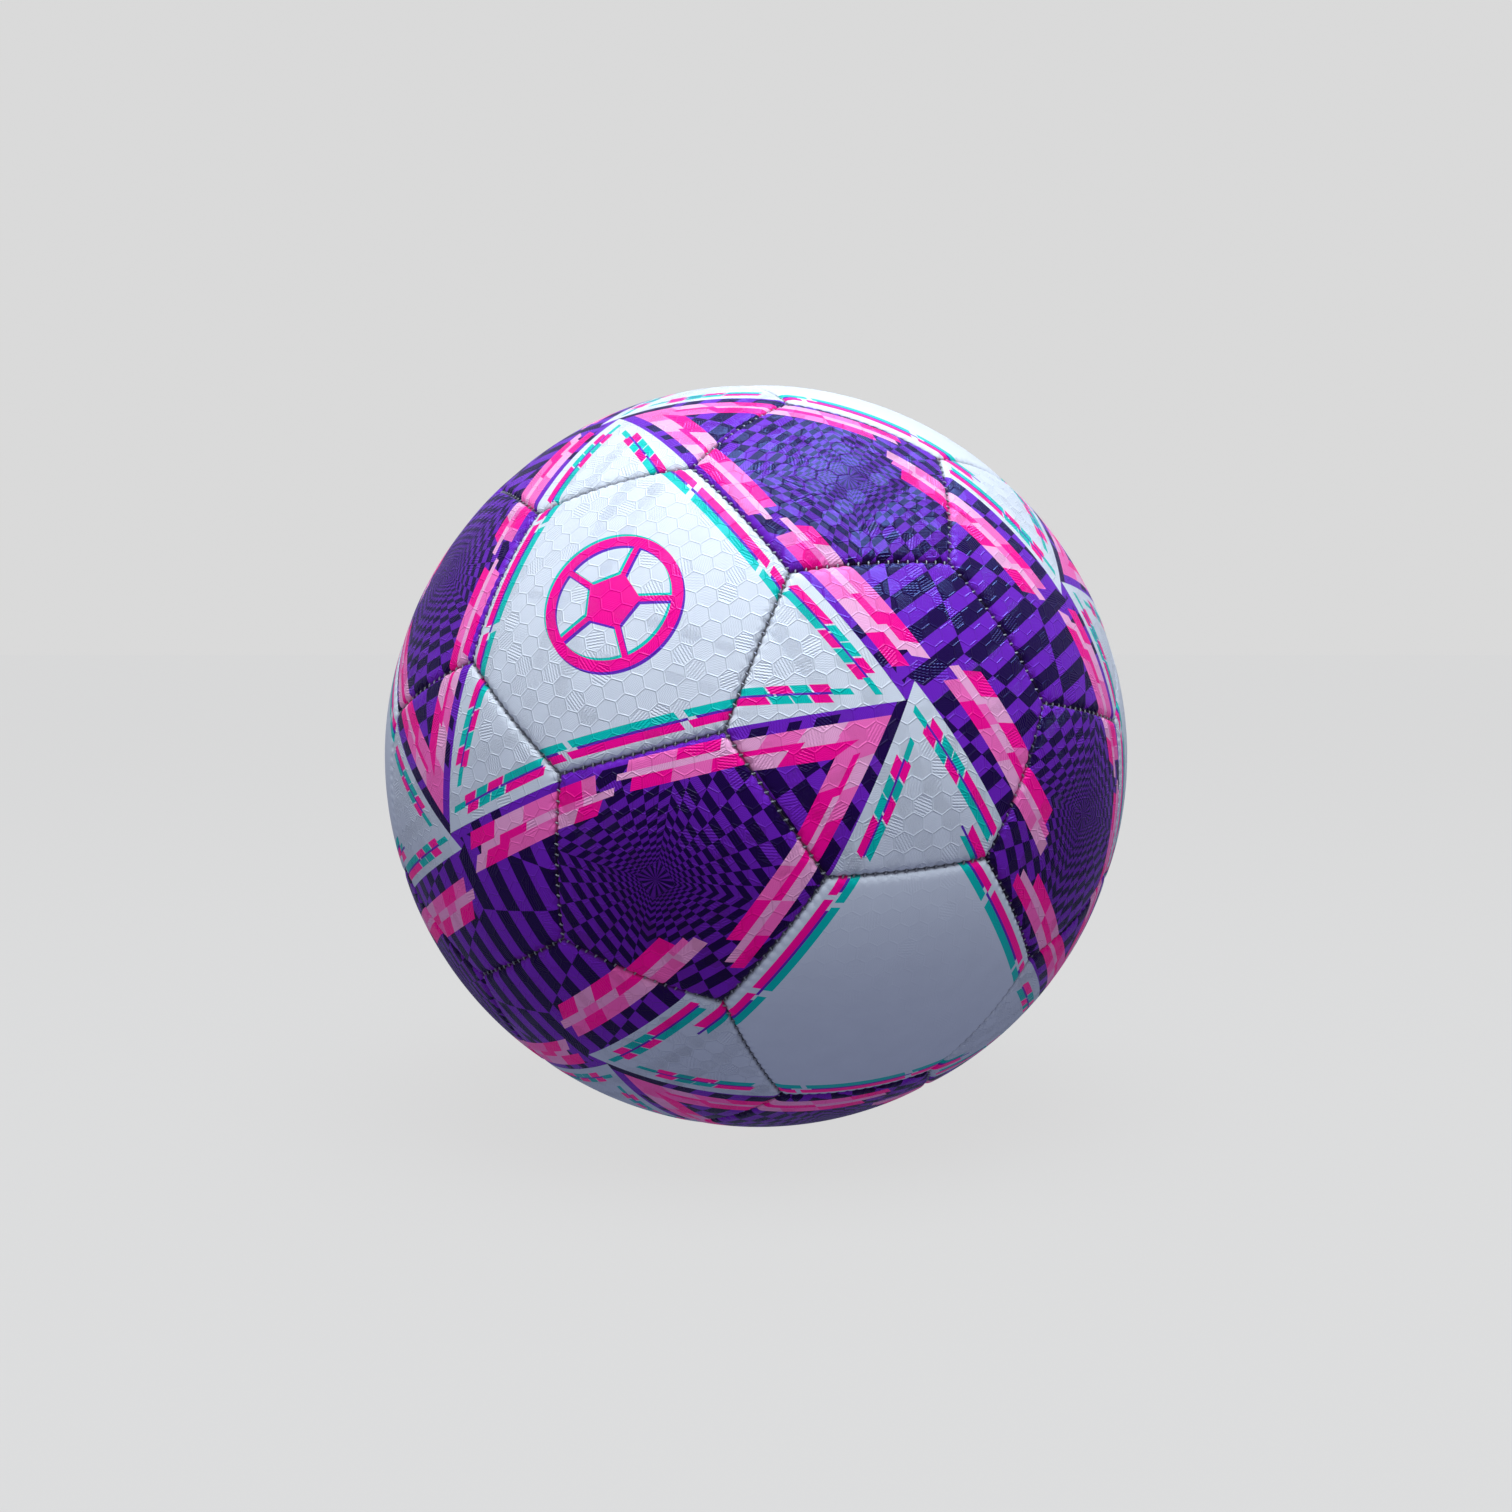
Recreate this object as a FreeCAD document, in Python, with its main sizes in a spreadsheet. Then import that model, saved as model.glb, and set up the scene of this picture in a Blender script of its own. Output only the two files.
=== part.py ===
import FreeCAD, Part
import math
import os
import re
import Sketcher
from FreeCAD import Placement, Rotation, Vector

# A size 5 football, stitched from twelve pentagons and twenty hexagons over an air bladder.
# The origin is the ball's centre and +Z is up. Each panel is drawn about its own +Z, which
# points out of the ball through the panel's middle, with +X towards the middle of one side,
# and is then turned into its place. From the outside in, a panel is a cover whose edges turn
# in to meet its neighbours', a foam pad and a cloth lining, and the bladder lies inside them.

GOLDEN = (1 + math.sqrt(5)) / 2
CENTRE = Vector(0, 0, 0)
CLEAR_OF_POLES = Placement(CENTRE, Rotation(Vector(1, 0, 0), 90))
SIDES = {"pentagon": 5, "hexagon": 6}

# The solid angle of a panel follows from the solid with 32 faces and equal edges: a corner is
# a third of the way from one pentagon's middle towards the next on the bare icosahedron.
PENTAGON_MIDDLE = Vector(0, 1, GOLDEN)
HEXAGON_MIDDLE = Vector(1, 1, 1)
SHARED_CORNER = (PENTAGON_MIDDLE * 2 + Vector(GOLDEN, 0, 1)) / 3


def side_spread(middle, sides):
    """How far a panel's side is from its axis, for each unit of height above the centre."""
    return math.tan(SHARED_CORNER.getAngle(middle)) * math.cos(math.pi / sides)


def side_lean(middle, sides):
    """How far a panel's side planes move up the axis for each unit that they are set back."""
    return 1 / math.sin(math.atan(side_spread(middle, sides)))


def edge_angle():
    """The angle at the ball's centre that one seam between two corners covers, in degrees."""
    other_corner = (PENTAGON_MIDDLE * 2 + Vector(0, -1, GOLDEN)) / 3
    return math.degrees(SHARED_CORNER.getAngle(other_corner))


DIMENSIONS = {
    # the ball as it lies: turned about Z, then Y, then X, in degrees
    "yaw_angle": -131.0,
    "pitch_angle": 27.5,
    "roll_angle": -67.5,
    # the layers
    "ball_radius": 110.0,
    "cover_thickness": 0.8,
    "foam_thickness": 3.0,
    "lining_thickness": 0.9,
    "bladder_wall": 0.9,
    "layer_gap": 0.05,
    # the seams
    "seam_gap": 0.1,
    "shoulder_radius": 2.4,
    "thread_radius": 0.4,
    "thread_relief": 0.4,
    "seam_angle": edge_angle(),
    # the panels' proportions
    "pentagon_spread": side_spread(PENTAGON_MIDDLE, 5),
    "pentagon_lean": side_lean(PENTAGON_MIDDLE, 5),
    "hexagon_spread": side_spread(HEXAGON_MIDDLE, 6),
    "hexagon_lean": side_lean(HEXAGON_MIDDLE, 6),
    # the valve and the patch that balances it
    "neck_radius": 4.6,
    "neck_recess": 0.5,
    "flange_radius": 15.0,
    "flange_rim_thickness": 0.8,
    "tail_radius": 4.0,
    "tail_length": 5.0,
    "core_head_radius": 3.4,
    "core_head_height": 1.4,
    "core_shank_radius": 2.4,
    "core_length": 16.0,
    "needle_hole_radius": 1.15,
    "needle_hole_depth": 12.0,
    "slit_width": 0.2,
    "slit_length": 3.0,
    "cloth_ring_radius": 13.0,
    "patch_radius": 17.0,
    "patch_thickness": 1.6,
}

COVER_INSIDE = "(ball_radius - cover_thickness)"
FOAM_TOP = "(ball_radius - cover_thickness - layer_gap)"
FOAM_FOOT = f"({FOAM_TOP} - foam_thickness)"
LINING_TOP = f"({FOAM_FOOT} - layer_gap)"
LINING_FOOT = f"({LINING_TOP} - lining_thickness)"
BLADDER_OUTSIDE = f"({LINING_FOOT} - layer_gap)"
BLADDER_INSIDE = f"({BLADDER_OUTSIDE} - bladder_wall)"
COVER_SET_BACK = "(seam_gap / 2)"
ROOM_SET_BACK = "(seam_gap / 2 + cover_thickness)"
ROOM_ROUNDING = "(shoulder_radius - cover_thickness)"
ROOM_FOOT = "0.9 * ball_radius"
OUT_OF_REACH = "(1.5 * ball_radius)"
LAYER_SET_BACK = "(seam_gap / 2 + cover_thickness + layer_gap)"
LAYER_ROUNDING = "(shoulder_radius - cover_thickness - layer_gap)"
NECK_HOLE = "(neck_radius + layer_gap)"
NECK_TOP = "(ball_radius - neck_recess)"
NEEDLE_HOLE_FOOT = f"({NECK_TOP} - needle_hole_depth)"

doc = FreeCAD.newDocument("football")


def make_sheet():
    """The spreadsheet that holds every driving dimension."""
    sheet = doc.addObject("Spreadsheet::Sheet", "dimensions")
    for row, (alias, value) in enumerate(DIMENSIONS.items(), start=1):
        sheet.set(f"A{row}", alias.replace("_", " "))
        sheet.set(f"B{row}", str(value))
        sheet.setAlias(f"B{row}", alias)
    doc.recompute()
    return sheet


def bind(thing, **formulas):
    """Ties a thing's properties to formulas written in the sheet's own words."""
    words = re.compile(r"\b(" + "|".join(DIMENSIONS) + r")\b")
    for name, formula in formulas.items():
        thing.setExpression(name, words.sub(r"dimensions.\1", formula))


# Part solids that several pieces share


def sphere(name, radius):
    """A sphere about the ball's centre, with its poles and its seam line clear of +Z."""
    ball = doc.addObject("Part::Sphere", name)
    ball.Placement = CLEAR_OF_POLES
    bind(ball, Radius=radius)
    return ball


def cylinder(name, radius):
    """A cylinder along +Z from the ball's centre to beyond its surface."""
    post = doc.addObject("Part::Cylinder", name)
    bind(post, Radius=radius, Height="2 * ball_radius")
    return post


def cut(name, base, tool):
    """What is left of one solid when another is taken away."""
    result = doc.addObject("Part::Cut", name)
    result.Base = base
    result.Tool = tool
    return result


def common(name, one, other):
    """What two solids share."""
    result = doc.addObject("Part::MultiCommon", name)
    result.Shapes = [one, other]
    return result


def shell_disc(name, top, foot, rim):
    """A round piece of the shell between two radii, about +Z."""
    within = common(f"{name}_within", sphere(f"{name}_top", top), cylinder(f"{name}_rim", rim))
    return cut(name, within, sphere(f"{name}_foot", foot))


# Sketches


def origin_part(body, role):
    """One of the planes or axes of a body's own origin."""
    return next(part for part in body.Origin.OriginFeatures if part.Role == role)


def new_sketch(body, name, role):
    """An empty sketch on one of a body's own planes."""
    sketch = body.newObject("Sketcher::SketchObject", name)
    sketch.AttachmentSupport = [(origin_part(body, role), "")]
    sketch.MapMode = "FlatFace"
    return sketch


def closed_polygon(sketch, corners):
    """Draws lines from corner to corner and joins them end to end."""
    count = len(corners)
    for number in range(count):
        line = Part.LineSegment(corners[number], corners[(number + 1) % count])
        sketch.addGeometry(line, False)
    for number in range(count):
        following = (number + 1) % count
        sketch.addConstraint(Sketcher.Constraint("Coincident", number, 2, following, 1))


def measure(sketch, direction, line, formula):
    """Sets how far from the sketch's origin a line starts, along one direction."""
    index = sketch.addConstraint(Sketcher.Constraint(direction, -1, 1, line, 1, 1.0))
    bind(sketch, **{f"Constraints[{index}]": formula})


# One panel's piece of a layer


def outline_beyond_side(body, name, kind, set_back):
    """The outline of everything beyond one side's plane, in the plane across that side."""
    sketch = new_sketch(body, name, "XZ_Plane")
    closed_polygon(sketch, [Vector(1, 1, 0), Vector(2, 1, 0), Vector(2, -1, 0), Vector(-1, -1, 0)])
    rise = f"{set_back} * {kind}_lean"
    corners = [
        (f"({OUT_OF_REACH} - {rise}) * {kind}_spread", OUT_OF_REACH),
        (OUT_OF_REACH, OUT_OF_REACH),
        (OUT_OF_REACH, f"-{OUT_OF_REACH}"),
        (f"(-{OUT_OF_REACH} - {rise}) * {kind}_spread", f"-{OUT_OF_REACH}"),
    ]
    for number, (across, up) in enumerate(corners):
        measure(sketch, "DistanceX", number, across)
        measure(sketch, "DistanceY", number, up)
    return sketch


def panel_layer(name, kind, top, foot, set_back):
    """A ball cut down to one panel by a plane through each seam, and hollowed from below."""
    body = doc.addObject("PartDesign::Body", name)
    ball = body.newObject("PartDesign::AdditiveSphere", f"{name}_ball")
    ball.Placement = CLEAR_OF_POLES
    bind(ball, Radius=top)
    doc.recompute()
    side = body.newObject("PartDesign::Pocket", f"{name}_side")
    side.Profile = outline_beyond_side(body, f"{name}_side_outline", kind, set_back)
    side.SideType = "Symmetric"
    bind(side, Length=f"2 * {OUT_OF_REACH}")
    sides = body.newObject("PartDesign::PolarPattern", f"{name}_sides")
    sides.Originals = [side]
    sides.Axis = (origin_part(body, "Z_Axis"), [""])
    sides.Angle = 360
    sides.Occurrences = SIDES[kind]
    body.Tip = sides
    hollow = body.newObject("PartDesign::SubtractiveSphere", f"{name}_hollow")
    hollow.Placement = CLEAR_OF_POLES
    bind(hollow, Radius=foot)
    body.Tip = hollow
    return body


def outer_edges(shape):
    """The names of the edges round a panel's outer face, whose ends are its farthest corners."""
    reach = max(point.Point.Length for point in shape.Vertexes)
    names = []
    for number, edge in enumerate(shape.Edges, start=1):
        if all(reach - end.Point.Length < 0.001 for end in edge.Vertexes):
            names.append(f"Edge{number}")
    return names


def rounded_layer(name, kind, top, foot, set_back, rounding):
    """A panel's piece of a layer, with its outer edges rounded over."""
    body = panel_layer(name, kind, top, foot, set_back)
    doc.recompute()
    sharp = body.Tip
    shoulders = body.newObject("PartDesign::Fillet", f"{name}_shoulders")
    shoulders.Base = (sharp, outer_edges(sharp.Shape))
    bind(shoulders, Radius=rounding)
    body.Tip = shoulders
    return body


# Where the panels are


def turned(x, y, z):
    """A direction and the two that follow from it when X, Y and Z change places in a ring."""
    return [Vector(x, y, z), Vector(z, x, y), Vector(y, z, x)]


def pentagon_frames():
    """The middle of each pentagon, and the two-tone hexagon that its +X points to."""
    frames = []
    for one in (1, -1):
        for two in (1, -1):
            middles = turned(0, one, two * GOLDEN)
            aims = turned(0, one * GOLDEN, two / GOLDEN)
            frames += list(zip(middles, aims))
    return frames


def two_tone_frames():
    """The middle of each two-tone hexagon, and its partner across the seam on its +X side."""
    frames = []
    for one in (1, -1):
        for two in (1, -1):
            middles = turned(one / GOLDEN, 0, two * GOLDEN)
            aims = turned(-one / GOLDEN, 0, two * GOLDEN)
            frames += list(zip(middles, aims))
    return frames


def white_frames():
    """The middle of each white hexagon, and one of its three two-tone neighbours."""
    frames = []
    for one in (1, -1):
        for two in (1, -1):
            for three in (1, -1):
                middle = Vector(one, two, three)
                aim = Vector(one / GOLDEN, 0, three * GOLDEN)
                frames.append((middle, aim))
    return frames


def as_it_lies(sheet):
    """The turn from the drawing of the ball to the ball as it lies."""
    return Rotation(sheet.yaw_angle, sheet.pitch_angle, sheet.roll_angle)


def facing(middle, aim, lie):
    """The placement of a piece whose +Z goes through a panel's middle and +X to its aim."""
    turn = Rotation(aim, CENTRE, middle, "ZXY")
    return Placement(CENTRE, lie * turn)


VALVE_MIDDLE = Vector(-1, -1, -1)
VALVE_AIM = Vector(-1 / GOLDEN, 0, -GOLDEN)


# The panels


def cover_master(kind):
    """One cover: an outer skin whose edges turn in over the seam in an even thickness."""
    blank = rounded_layer(
        f"{kind}_blank", kind, "ball_radius", LINING_FOOT, COVER_SET_BACK, "shoulder_radius"
    )
    room = rounded_layer(
        f"{kind}_room", kind, COVER_INSIDE, ROOM_FOOT, ROOM_SET_BACK, ROOM_ROUNDING
    )
    return cut(f"{kind}_cover", blank, room)


def clone(name, master, place):
    """A body that repeats another, in a place of its own."""
    body = doc.addObject("PartDesign::Body", name)
    copied = doc.addObject("PartDesign::FeatureBase", f"{name}_base")
    body.Group = [copied]
    copied.BaseFeature = master
    body.Tip = copied
    body.Placement = place
    return body


def pierce(body, radius):
    """Makes the valve's hole through a panel's cover."""
    sketch = new_sketch(body, f"{body.Name}_hole_sketch", "XY_Plane")
    sketch.addGeometry(Part.Circle(CENTRE, Vector(0, 0, 1), 1), False)
    sketch.addConstraint(Sketcher.Constraint("Coincident", 0, 3, -1, 1))
    sketch.addConstraint(Sketcher.Constraint("Radius", 0, 1))
    bind(sketch, **{"Constraints[1]": radius})
    hole = body.newObject("PartDesign::Pocket", f"{body.Name}_hole")
    hole.Profile = sketch
    hole.Reversed = True
    bind(hole, Length="2 * ball_radius")
    body.Tip = hole


def make_covers(lie):
    """The 32 covers, each a body of its own; the valve's panel has a hole."""
    pentagon = cover_master("pentagon")
    hexagon = cover_master("hexagon")
    covers = []
    for number, (middle, aim) in enumerate(pentagon_frames(), start=1):
        covers.append(clone(f"pentagon_panel_{number:02d}", pentagon, facing(middle, aim, lie)))
    for number, (middle, aim) in enumerate(two_tone_frames(), start=1):
        covers.append(clone(f"two_tone_panel_{number:02d}", hexagon, facing(middle, aim, lie)))
    for number, (middle, aim) in enumerate(white_frames(), start=1):
        cover = clone(f"white_panel_{number:02d}", hexagon, facing(middle, aim, lie))
        if middle == VALVE_MIDDLE:
            pierce(cover, NECK_HOLE)
        covers.append(cover)
    return covers


def repeats(name, master, frames, lie):
    """Links that repeat one solid at each of several panels."""
    links = []
    for number, (middle, aim) in enumerate(frames, start=1):
        link = doc.addObject("App::Link", f"{name}_{number:02d}")
        link.LinkedObject = master
        link.Placement = facing(middle, aim, lie)
        links.append(link)
    return links


def group(name, members):
    """Separate solids that are kept together as one sub-part."""
    compound = doc.addObject("Part::Compound", name)
    compound.Links = members
    return compound


def make_layer(word, pentagon, hexagon, valve_hole, lie):
    """One layer behind all the panels, as a group for each shape of panel."""
    pierced = cut(f"{word}_pierced", hexagon, cylinder(f"{word}_valve_post", valve_hole))
    valve_frame = (VALVE_MIDDLE, VALVE_AIM)
    plain_frames = two_tone_frames() + white_frames()
    plain_frames.remove(valve_frame)
    pentagons = repeats(f"{word}_under_pentagon", pentagon, pentagon_frames(), lie)
    hexagons = repeats(f"{word}_under_hexagon", hexagon, plain_frames, lie)
    hexagons += repeats(f"{word}_under_valve", pierced, [valve_frame], lie)
    return [group(f"pentagon_{word}", pentagons), group(f"hexagon_{word}", hexagons)]


def make_foam(lie):
    """The foam pads, rounded to fill the covers."""
    masters = [
        rounded_layer(f"{kind}_pad", kind, FOAM_TOP, FOAM_FOOT, LAYER_SET_BACK, LAYER_ROUNDING)
        for kind in SIDES
    ]
    return make_layer("foam", *masters, NECK_HOLE, lie)


def make_lining(lie):
    """The cloth linings, with room for the doubled cloth round the valve."""
    masters = [
        panel_layer(f"{kind}_cloth", kind, LINING_TOP, LINING_FOOT, LAYER_SET_BACK)
        for kind in SIDES
    ]
    return make_layer("lining", *masters, "(cloth_ring_radius + layer_gap)", lie)


# The thread


def neighbours(middle):
    """The middles of the five pentagons nearest to one pentagon."""
    nearest = 2.0
    return [other for other, aim in pentagon_frames() if abs((other - middle).Length - nearest) < 0.01]


def corner(near, far):
    """The corner of the pentagon at one middle that points at another pentagon."""
    return (near * 2 + far) / 3


def pentagon_seams():
    """The two corners of each seam round a pentagon."""
    seams = []
    for middle, aim in pentagon_frames():
        around = neighbours(middle)
        for one in range(len(around)):
            for two in range(one + 1, len(around)):
                if (around[one] - around[two]).Length < 2.01:
                    seams.append((corner(middle, around[one]), corner(middle, around[two])))
    return seams


def hexagon_seams():
    """The two corners of each seam between two hexagons."""
    middles = [middle for middle, aim in pentagon_frames()]
    seams = []
    for number, one in enumerate(middles):
        for two in middles[number + 1 :]:
            if (one - two).Length < 2.01:
                seams.append((corner(one, two), corner(two, one)))
    return seams


def make_thread(name, seams, sheet, lie):
    """The thread along some seams: an arc of cord lying in the valley over each one."""
    to_shoulder = "(shoulder_radius + thread_radius + layer_gap)^2"
    beside_seam = "(shoulder_radius + seam_gap / 2)^2"
    line_radius = f"(ball_radius - shoulder_radius + sqrt({to_shoulder} - {beside_seam}))"
    arcs = []
    for number in range(1, len(seams) + 1):
        arc = doc.addObject("Part::Torus", f"{name}_{number:02d}")
        bind(arc, Radius1=line_radius, Radius2="thread_radius")
        bind(arc, Angle3=f"seam_angle - 2 * thread_relief / {line_radius} * 180 / pi")
        arcs.append(arc)
    doc.recompute()
    for arc, (start, end) in zip(arcs, seams):
        along_seam = Rotation(start, CENTRE, start.cross(end), "ZXY")
        spare_angle = sheet.seam_angle - arc.Angle3.Value
        centred = Rotation(Vector(0, 0, 1), spare_angle / 2)
        arc.Placement = Placement(CENTRE, lie * along_seam * centred)
    return group(name, arcs)


# The bladder, the valve and the patch


def make_bladder(place):
    """The rubber bladder, with the hole that the valve's neck passes."""
    outside = sphere("bladder_outside", BLADDER_OUTSIDE)
    wall = cut("bladder_wall", outside, sphere("bladder_air", BLADDER_INSIDE))
    bladder = cut("bladder", wall, cylinder("bladder_neck_hole", NECK_HOLE))
    bladder.Placement = place
    return bladder


def revolve(name, corners, place):
    """A body turned about its +Z from an outline of (distance from the axis, height) corners."""
    body = doc.addObject("PartDesign::Body", name)
    sketch = new_sketch(body, f"{name}_outline", "XZ_Plane")
    count = len(corners)
    # The outline is first drawn round, and its constraints then pull it into shape.
    step = 360 / count
    rough = [Rotation(Vector(0, 0, 1), step * n).multVec(Vector(10, 0, 0)) for n in range(count)]
    closed_polygon(sketch, rough)
    for number, (across, up) in enumerate(corners):
        if across == "0":
            sketch.addConstraint(Sketcher.Constraint("PointOnObject", number, 1, -2))
        else:
            measure(sketch, "DistanceX", number, across)
        measure(sketch, "DistanceY", number, up)
    turned_solid = body.newObject("PartDesign::Revolution", f"{name}_turned")
    turned_solid.Profile = sketch
    turned_solid.ReferenceAxis = (sketch, ["V_Axis"])
    turned_solid.Angle = 360
    body.Placement = place
    return body


def make_boot(place):
    """The rubber boot: a neck through the layers, a flange inside the bladder and a tail."""
    bore = "(core_shank_radius + layer_gap)"
    head_bore = "(core_head_radius + layer_gap)"
    head_seat = f"({NECK_TOP} - core_head_height - layer_gap)"
    flange_by_neck = f"(sqrt({BLADDER_INSIDE}^2 - neck_radius^2) - layer_gap)"
    flange_rim_top = f"(sqrt({BLADDER_INSIDE}^2 - flange_radius^2) - layer_gap)"
    flange_foot = f"({flange_rim_top} - flange_rim_thickness)"
    tail_foot = f"({flange_foot} - tail_length)"
    corners = [
        (bore, tail_foot),
        ("tail_radius", tail_foot),
        ("tail_radius", flange_foot),
        ("flange_radius", flange_foot),
        ("flange_radius", flange_rim_top),
        ("neck_radius", flange_by_neck),
        ("neck_radius", NECK_TOP),
        (head_bore, NECK_TOP),
        (head_bore, head_seat),
        (bore, head_seat),
    ]
    return revolve("valve_boot", corners, place)


def make_core(place):
    """The valve's rubber core: a plug with a needle hole that ends in a slit."""
    head_foot = f"({NECK_TOP} - core_head_height)"
    core_foot = f"({NECK_TOP} - core_length)"
    corners = [
        ("0", core_foot),
        ("core_shank_radius", core_foot),
        ("core_shank_radius", head_foot),
        ("core_head_radius", head_foot),
        ("core_head_radius", NECK_TOP),
        ("needle_hole_radius", NECK_TOP),
        ("needle_hole_radius", NEEDLE_HOLE_FOOT),
        ("0", NEEDLE_HOLE_FOOT),
    ]
    core = revolve("valve_core", corners, place)
    doc.recompute()
    sketch = new_sketch(core, "valve_slit_outline", "XY_Plane")
    half_length = "slit_length / 2"
    half_width = "slit_width / 2"
    box = [(1, 1), (-1, 1), (-1, -1), (1, -1)]
    closed_polygon(sketch, [Vector(across, up, 0) for across, up in box])
    for number, (across, up) in enumerate(box):
        measure(sketch, "DistanceX", number, f"{across} * {half_length}")
        measure(sketch, "DistanceY", number, f"{up} * {half_width}")
    slit = core.newObject("PartDesign::Pocket", "valve_slit")
    slit.Profile = sketch
    slit.Reversed = True
    bind(slit, Length=NEEDLE_HOLE_FOOT)
    return core


def make_cloth_ring(place):
    """The doubled cloth that stiffens the lining round the valve's neck."""
    disc = shell_disc("cloth_disc", LINING_TOP, LINING_FOOT, "cloth_ring_radius")
    ring = cut("valve_cloth_ring", disc, cylinder("cloth_ring_hole", NECK_HOLE))
    ring.Placement = place
    return ring


def make_patch(place):
    """The rubber patch inside the bladder that balances the valve."""
    patch_top = f"({BLADDER_INSIDE} - layer_gap)"
    patch_foot = f"({patch_top} - patch_thickness)"
    patch = shell_disc("balance_patch", patch_top, patch_foot, "patch_radius")
    patch.Placement = place
    return patch


def make_ball():
    """Every sub-part of the ball."""
    sheet = make_sheet()
    lie = as_it_lies(sheet)
    valve_place = facing(VALVE_MIDDLE, VALVE_AIM, lie)
    patch_place = facing(-VALVE_MIDDLE, -VALVE_AIM, lie)
    return [
        *make_covers(lie),
        *make_foam(lie),
        *make_lining(lie),
        make_thread("pentagon_thread", pentagon_seams(), sheet, lie),
        make_thread("hexagon_thread", hexagon_seams(), sheet, lie),
        make_bladder(valve_place),
        make_boot(valve_place),
        make_core(valve_place),
        make_cloth_ring(valve_place),
        make_patch(patch_place),
    ]


def check(pieces):
    """Stops if anything in the document failed, or a sub-part has no valid shape."""
    for thing in doc.Objects:
        if "Invalid" in thing.State or "Error" in thing.State:
            raise RuntimeError(f"{thing.Name} failed: {thing.State}")
    for piece in pieces:
        if piece.Shape.isNull() or not piece.Shape.isValid():
            raise RuntimeError(f"{piece.Label} has no valid shape")


def write(pieces):
    """One STEP file for each sub-part, under its own name."""
    os.makedirs("parts", exist_ok=True)
    for piece in pieces:
        piece.Shape.exportStep(f"parts/{piece.Label}.step")


sub_parts = make_ball()
doc.recompute()
check(sub_parts)
write(sub_parts)
for sub_part in sub_parts:
    solids = sub_part.Shape.Solids
    print(f"{sub_part.Label}: {len(solids)} solids, {sub_part.Shape.Volume / 1000:.3f} cm3")
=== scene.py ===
import math

import bpy
import numpy as np
from mathutils import Matrix, Vector


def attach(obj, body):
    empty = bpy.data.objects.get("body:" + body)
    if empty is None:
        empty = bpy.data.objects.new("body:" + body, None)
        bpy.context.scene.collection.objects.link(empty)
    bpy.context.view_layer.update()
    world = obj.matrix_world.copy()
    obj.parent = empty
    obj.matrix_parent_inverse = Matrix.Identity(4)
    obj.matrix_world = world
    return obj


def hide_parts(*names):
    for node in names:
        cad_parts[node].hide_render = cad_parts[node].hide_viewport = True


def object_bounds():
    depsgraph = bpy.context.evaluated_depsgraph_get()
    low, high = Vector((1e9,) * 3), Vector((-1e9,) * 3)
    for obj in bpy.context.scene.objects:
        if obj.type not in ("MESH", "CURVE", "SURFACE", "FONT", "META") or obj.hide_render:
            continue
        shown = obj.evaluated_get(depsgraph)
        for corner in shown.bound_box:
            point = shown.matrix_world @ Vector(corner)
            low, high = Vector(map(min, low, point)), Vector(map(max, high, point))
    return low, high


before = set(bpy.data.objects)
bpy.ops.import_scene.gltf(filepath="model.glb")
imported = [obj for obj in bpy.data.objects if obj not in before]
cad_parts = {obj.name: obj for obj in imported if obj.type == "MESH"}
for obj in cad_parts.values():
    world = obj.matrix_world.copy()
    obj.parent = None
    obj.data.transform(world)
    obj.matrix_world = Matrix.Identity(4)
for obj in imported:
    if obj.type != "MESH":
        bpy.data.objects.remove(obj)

# The looks of a stitched football. Each panel's print is drawn on its flat pattern, which is
# the plane that touches the ball at the panel's middle: X points to the middle of one side,
# and places on it are in millimetres. Every node of the print works on those places.

MM = 0.001
GOLDEN = (1 + math.sqrt(5)) / 2
cad_low, cad_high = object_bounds()
CENTRE = (cad_low + cad_high) / 2
BALL_RADIUS = (cad_high.z - cad_low.z) / 2 / MM
FLOOR_HEIGHT = cad_low.z

# The corners of the solid with 32 faces give each panel's size on its flat pattern.
PENTAGON_MIDDLE = Vector((0, 1, GOLDEN))
HEXAGON_MIDDLE = Vector((1, 1, 1))
SHARED_CORNER = (PENTAGON_MIDDLE * 2 + Vector((GOLDEN, 0, 1))) / 3
OTHER_CORNER = (PENTAGON_MIDDLE * 2 + Vector((0, -1, GOLDEN))) / 3
SEAM_ANGLE = SHARED_CORNER.angle(OTHER_CORNER)


def side_distance(middle, sides):
    """How far a panel's side is from its middle on the flat pattern."""
    return BALL_RADIUS * math.tan(SHARED_CORNER.angle(middle)) * math.cos(math.pi / sides)


PENTAGON_REACH = side_distance(PENTAGON_MIDDLE, 5)
HEXAGON_REACH = side_distance(HEXAGON_MIDDLE, 6)

# The seams
STITCHES = 16
SAMPLES_PER_STITCH = 6
SEAM_GAP = 0.05
STITCH_NOTCH = 0.28
GROOVE_DEPTH = 1.3
GROOVE_DEEPER_AT_STITCH = 0.45
SHOULDER_WIDTH = 2.1
SHOULDER_WIDER_AT_STITCH = 0.6
NOTCH_WIDTH = 0.5
PILLOW_DROP = 0.35
PILLOW_WIDTH = 9.0
COVER_THICKNESS = 0.7
TURNED_IN = (2.2, 1.3, 0.5)
CORNER_SHARPNESS_INSIDE = 20
CORNER_SHARPNESS_AT_EDGE = 90
CORNER_ROUNDING_WIDTH = 3
RINGS = 24
RING_CROWDING = 2.2
HUB_RADIUS = 1.6

# The thread
THREAD_RADIUS = 0.23
THREAD_SIDES = 6
PLY_DEPTH = 0.14
PLY_TURN = 1.1
STITCH_POINTS = 9
STITCH_HALF_WIDTH = 0.95
STITCH_SLANT = 0.3
STITCH_RISE = 0.55
STITCH_DEPTH = 1.15
STRAND_DEPTH = 2.1
STRAND_SWAY = 0.12
STRAND_POINTS = 3 * STITCHES + 1

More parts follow.
